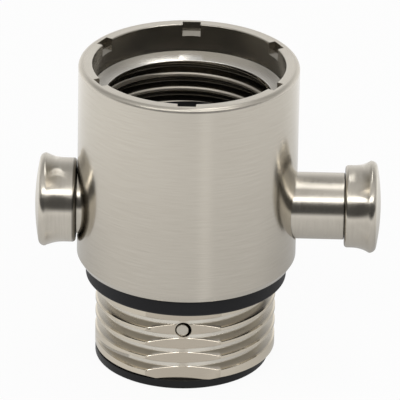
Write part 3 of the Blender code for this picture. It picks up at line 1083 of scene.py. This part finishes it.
# %% Turn the insert
SPIGOT_R = SPOUT_BORE_R - 0.1 * MM
RING_GROOVE_R, RING_GAP = 6.2 * MM, 0.1 * MM
PIN_GROOVE_R, PIN_GROOVE_HALF = 6.5 * MM, 1.0 * MM
CUP_R, PLATE_TOP = 5.7 * MM, 1.6 * MM
POST_R, POST_SHOULDER = 1.9 * MM, 3.6 * MM
TIP_R, POST_TOP = 1.1 * MM, 4.4 * MM
FLANGE_TOP = CORE_BOTTOM - GAP
FLANGE_ASIDE = 0.35 * MM
insert_ring_low, insert_ring_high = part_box("insert_o_ring")
flange_r = insert_high.x
insert = turned(
    "outlet_insert",
    rounded(
        [
            (0, 0),
            (flange_r, 0, 0.15 * MM),
            (flange_r, FLANGE_TOP, 0.08 * MM),
            (SPIGOT_R, FLANGE_TOP),
            (SPIGOT_R, insert_ring_low.z - RING_GAP, 0.05 * MM),
            (RING_GROOVE_R, insert_ring_low.z - RING_GAP, 0.1 * MM),
            (RING_GROOVE_R, insert_ring_high.z + RING_GAP, 0.1 * MM),
            (SPIGOT_R, insert_ring_high.z + RING_GAP, 0.05 * MM),
            (SPIGOT_R, PIN_HOLE_Z - PIN_GROOVE_HALF),
            (PIN_GROOVE_R, PIN_HOLE_Z - PIN_GROOVE_HALF, 0.1 * MM),
            (PIN_GROOVE_R, PIN_HOLE_Z + PIN_GROOVE_HALF, 0.1 * MM),
            (SPIGOT_R, PIN_HOLE_Z + PIN_GROOVE_HALF),
            (SPIGOT_R, insert_high.z, 0.4 * MM),
            (CUP_R, insert_high.z, 0.2 * MM),
            (CUP_R, PLATE_TOP, 0.3 * MM),
            (POST_R, PLATE_TOP, 0.2 * MM),
            (POST_R, POST_SHOULDER, 0.3 * MM),
            (TIP_R, POST_TOP, 0.3 * MM),
            (0, POST_TOP),
        ]
    ),
    MEDIUM,
    closed=False,
)
# The flange is moulded a little to one side of the spigot.
for vertex in insert.data.vertices:
    if math.hypot(vertex.co.x, vertex.co.y) > SPIGOT_R + 1 * MM:
        vertex.co.x -= FLANGE_ASIDE
print("insert turned:", len(insert.data.polygons), "faces")

# %% Drill the insert's holes
HOLES, HOLE_R, HOLE_CIRCLE_R = 6, 1.3 * MM, 3.85 * MM
for i in range(HOLES):
    angle = math.radians(360 / HOLES * i)
    place = (HOLE_CIRCLE_R * math.cos(angle), HOLE_CIRCLE_R * math.sin(angle), 0)
    cut(insert, rod_tool("outlet_hole", HOLE_R, -1 * MM, 3 * MM, steps=32, centre=place))
smooth(insert, 40)
finish_piece(insert, black_plastic, "black_plastic", "valve", "outlet_insert")

# %% [markdown]
# ## Retaining pin
# A short steel pin through the front flat keeps the insert in. Only its round nose shows. It is
# thinner than its hole and lies low and to the left in it.

# %% Turn the pin
PIN_R = 0.72 * MM
PIN_LEFT, PIN_DOWN = 0.12 * MM, 0.18 * MM
pin = turned(
    "retaining_pin",
    rounded(
        [
            (0, pin_high.y),
            (PIN_R, pin_high.y, 0.1 * MM),
            (PIN_R, pin_low.y, 0.08 * MM),
            (0, pin_low.y),
        ]
    ),
    PIN_STEPS,
    "Y",
    closed=False,
)
pin.location.x = -PIN_LEFT
pin.location.z = PIN_HOLE_Z - PIN_DOWN
apply_place(pin)
smooth(pin, 60)
finish_piece(pin, steel, "steel_pin", "valve", "retaining_pin")

# %% [markdown]
# ## Studio
# The valve stands on a white floor that runs out of sight. The floor is partly self-lit for the
# camera, which keeps it white, and it still takes a soft shadow. Polished metal shows whatever
# stands round it, so the floor's glow in reflections is painted light: a painted shade close to
# the valve, a painted shadow behind it, a painted highlight streak to one side, darker towards
# the right, brighter behind, and falling away to the dark end of the room in front.

# %% Floor
FLOOR_R, FLOOR_DROP = 3.0, 0.05 * MM
# Where the painted shade, the brightening behind and the painted shadow lie, in millimetres
NEAR_VALVE = (88, 34)  # distance from the axis
BEHIND = (20, 120)  # depth
SHADOW_REACH, SHADOW_DEPTH = (70, 30), (-22, 14)
HIGHLIGHT_STREAK = [math.radians(degrees) for degrees in (8, 18, 28)]  # painted highlight streak: its start, middle and end
FALL_FROM = 95 * MM
deselect_all()
bpy.ops.mesh.primitive_circle_add(
    vertices=96, radius=FLOOR_R, fill_type="NGON", location=(0, 0, -FLOOR_DROP)
)
floor = bpy.context.object
floor.name = "studio_floor"
floor_material = bpy.data.materials.new("studio_floor")
floor_material.use_nodes = True
floor.data.materials.append(floor_material)
tree = floor_material.node_tree
tree.nodes.clear()
side, depth = coordinate(tree, "X"), coordinate(tree, "Y")
forward = 0.0 - depth
reach, _ = from_axis(tree)
near_shade = mask(tree, reach, NEAR_VALVE)
behind = mask(tree, depth, BEHIND)
shadow = mask(tree, reach, SHADOW_REACH) * mask(tree, depth, SHADOW_DEPTH)
azimuth = add_node(tree, "ShaderNodeMath", {"operation": "ARCTAN2"}, {0: side, 1: forward})
start, middle, end = HIGHLIGHT_STREAK
highlight_streak = ramp(tree, azimuth, start, middle) * ramp(tree, azimuth, end, middle)
fall = FALL_FROM / forward.math("MAXIMUM", forward, FALL_FROM)
# painted shade near the valve, painted shadow, painted highlight streak, darker to the right
tone = 0.885 - near_shade * 0.16 - shadow * 0.15 - side / reach * 0.06 + highlight_streak * 0.09 + behind * 0.25
to_camera = add_node(tree, "ShaderNodeLightPath", output="Is Camera Ray")
to_metal = add_node(tree, "ShaderNodeLightPath", output="Is Glossy Ray")
seen_in_metal = 1 - to_metal + to_metal * tone * fall
matt = add_node(tree, "ShaderNodeBsdfDiffuse", {}, {"Color": (0.8, 0.8, 0.79, 1)})
glow = add_node(tree, "ShaderNodeEmission", {}, {"Color": seen_in_metal, "Strength": 1.0})
lit_by_itself = to_camera * 0.94 + to_metal
blend = add_node(tree, "ShaderNodeMixShader", {}, {0: lit_by_itself, 1: matt, 2: glow})
add_node(tree, "ShaderNodeOutputMaterial", {}, {"Surface": blend})
print("floor:", len(tree.nodes), "nodes")

# %% [markdown]
# ### Room
# The room is drawn as brightness by height, from the camera's side over the zenith to the back:
# dark low down in front, half bright overhead, and white behind. The camera itself sees white.

# %% Room
ROOM = [  # angle and brightness
    (0.0, 0.085),
    (0.185, 0.10),
    (0.215, 0.50),
    (0.36, 0.66),
    (0.50, 0.66),
    (0.62, 0.42),
    (0.70, 0.40),
    (0.80, 0.60),
    (0.88, 1.0),
    (1.0, 1.05),
]
world = bpy.data.worlds.new("studio")
bpy.context.scene.world = world
world.use_nodes = True
tree = world.node_tree
tree.nodes.clear()
direction = add_node(tree, "ShaderNodeTexCoord", output="Generated")
height = add_node(tree, "ShaderNodeSeparateXYZ", {}, {0: direction}, output="Z")
depth = add_node(tree, "ShaderNodeSeparateXYZ", {}, {0: direction}, output="Y")
# The angle climbs from 0 on the camera's side over the zenith to 1 behind.
over = add_node(tree, "ShaderNodeMath", {"operation": "ARCTAN2"}, {0: height, 1: 0.0 - depth})
room = add_node(tree, "ShaderNodeValToRGB", {"stops": ROOM}, {0: over / math.pi})
to_camera = add_node(tree, "ShaderNodeLightPath", output="Is Camera Ray")
shade = mix_colour(tree, to_camera, room, (1, 1, 1))
background = add_node(tree, "ShaderNodeBackground", {}, {"Color": shade, "Strength": 1.0})
add_node(tree, "ShaderNodeOutputWorld", {}, {"Surface": background})
print("room:", len(ROOM), "stops")

# %% [markdown]
# ### Softboxes
# One softbox, much wider than the valve and parallel to the plunger, hangs in front: a wide lamp
# draws straight highlights along stem and knobs, where two small ones would leave wavy spots. A
# second, smaller one hangs behind and nearly overhead, and glints in the rim and the socket. It
# is moved to one side, clear of where the left knob would mirror it.


# %% Softboxes
def softbox(name, azimuth, elevation, distance, width, height, radiance, aside=0.0):
    """A rectangular lamp aimed at the valve, then moved aside; azimuth 0 is the camera's side."""
    a, e = math.radians(azimuth), math.radians(elevation)
    place = (
        distance * math.cos(e) * math.sin(a) + aside,
        -distance * math.cos(e) * math.cos(a),
        PLUNGER_Z + distance * math.sin(e),
    )
    lamp = bpy.data.lights.new(name, "AREA")
    lamp.shape = "RECTANGLE"
    lamp.size, lamp.size_y = width, height
    lamp.energy = radiance * math.pi * width * height
    holder = bpy.data.objects.new(name, lamp)
    bpy.context.scene.collection.objects.link(holder)
    holder.location = place
    holder.rotation_euler = (math.radians(90) - e, 0, a)
    return holder


front = softbox("front_softbox", 1, 45.0, 0.9, width=1.7, height=0.19, radiance=3.5)
top = softbox(
    "top_softbox", 180, 76, 0.9, width=0.17, height=0.38, radiance=3.8, aside=0.14
)
print("softboxes:", front.name, top.name)

# %% [markdown]
# ## Camera
# A long lens well back from the valve, looking down on it by about 26 degrees and turned a
# little to one side, the way a small product is usually shot. It keeps upright lines nearly
# parallel.

# %% Camera
AIM = (0.0, 0.0, 0.019)
DISTANCE = 0.650
ELEVATION = math.radians(25.6)
AZIMUTH = math.radians(1.0)
ROLL = math.radians(0.97)
camera_data = bpy.data.cameras.new("camera")
camera_data.sensor_width = 36.0
camera_data.lens = 505.4
camera_data.shift_x = 0.0326
camera_data.shift_y = 0.0076
camera_data.clip_end = 20.0
camera = bpy.data.objects.new("camera", camera_data)
bpy.context.scene.collection.objects.link(camera)
camera.rotation_mode = "XYZ"
camera.location = (
    AIM[0] + DISTANCE * math.cos(ELEVATION) * math.sin(AZIMUTH),
    AIM[1] - DISTANCE * math.cos(ELEVATION) * math.cos(AZIMUTH),
    AIM[2] + DISTANCE * math.sin(ELEVATION),
)
look = Matrix.Rotation(AZIMUTH, 4, "Z") @ Matrix.Rotation(math.pi / 2 - ELEVATION, 4, "X")
camera.rotation_euler = (look @ Matrix.Rotation(ROLL, 4, "Z")).to_euler()
bpy.context.scene.camera = camera
bpy.context.scene.view_settings.view_transform = "Standard"
print("camera:", camera_data.lens, "mm lens at", DISTANCE, "m")
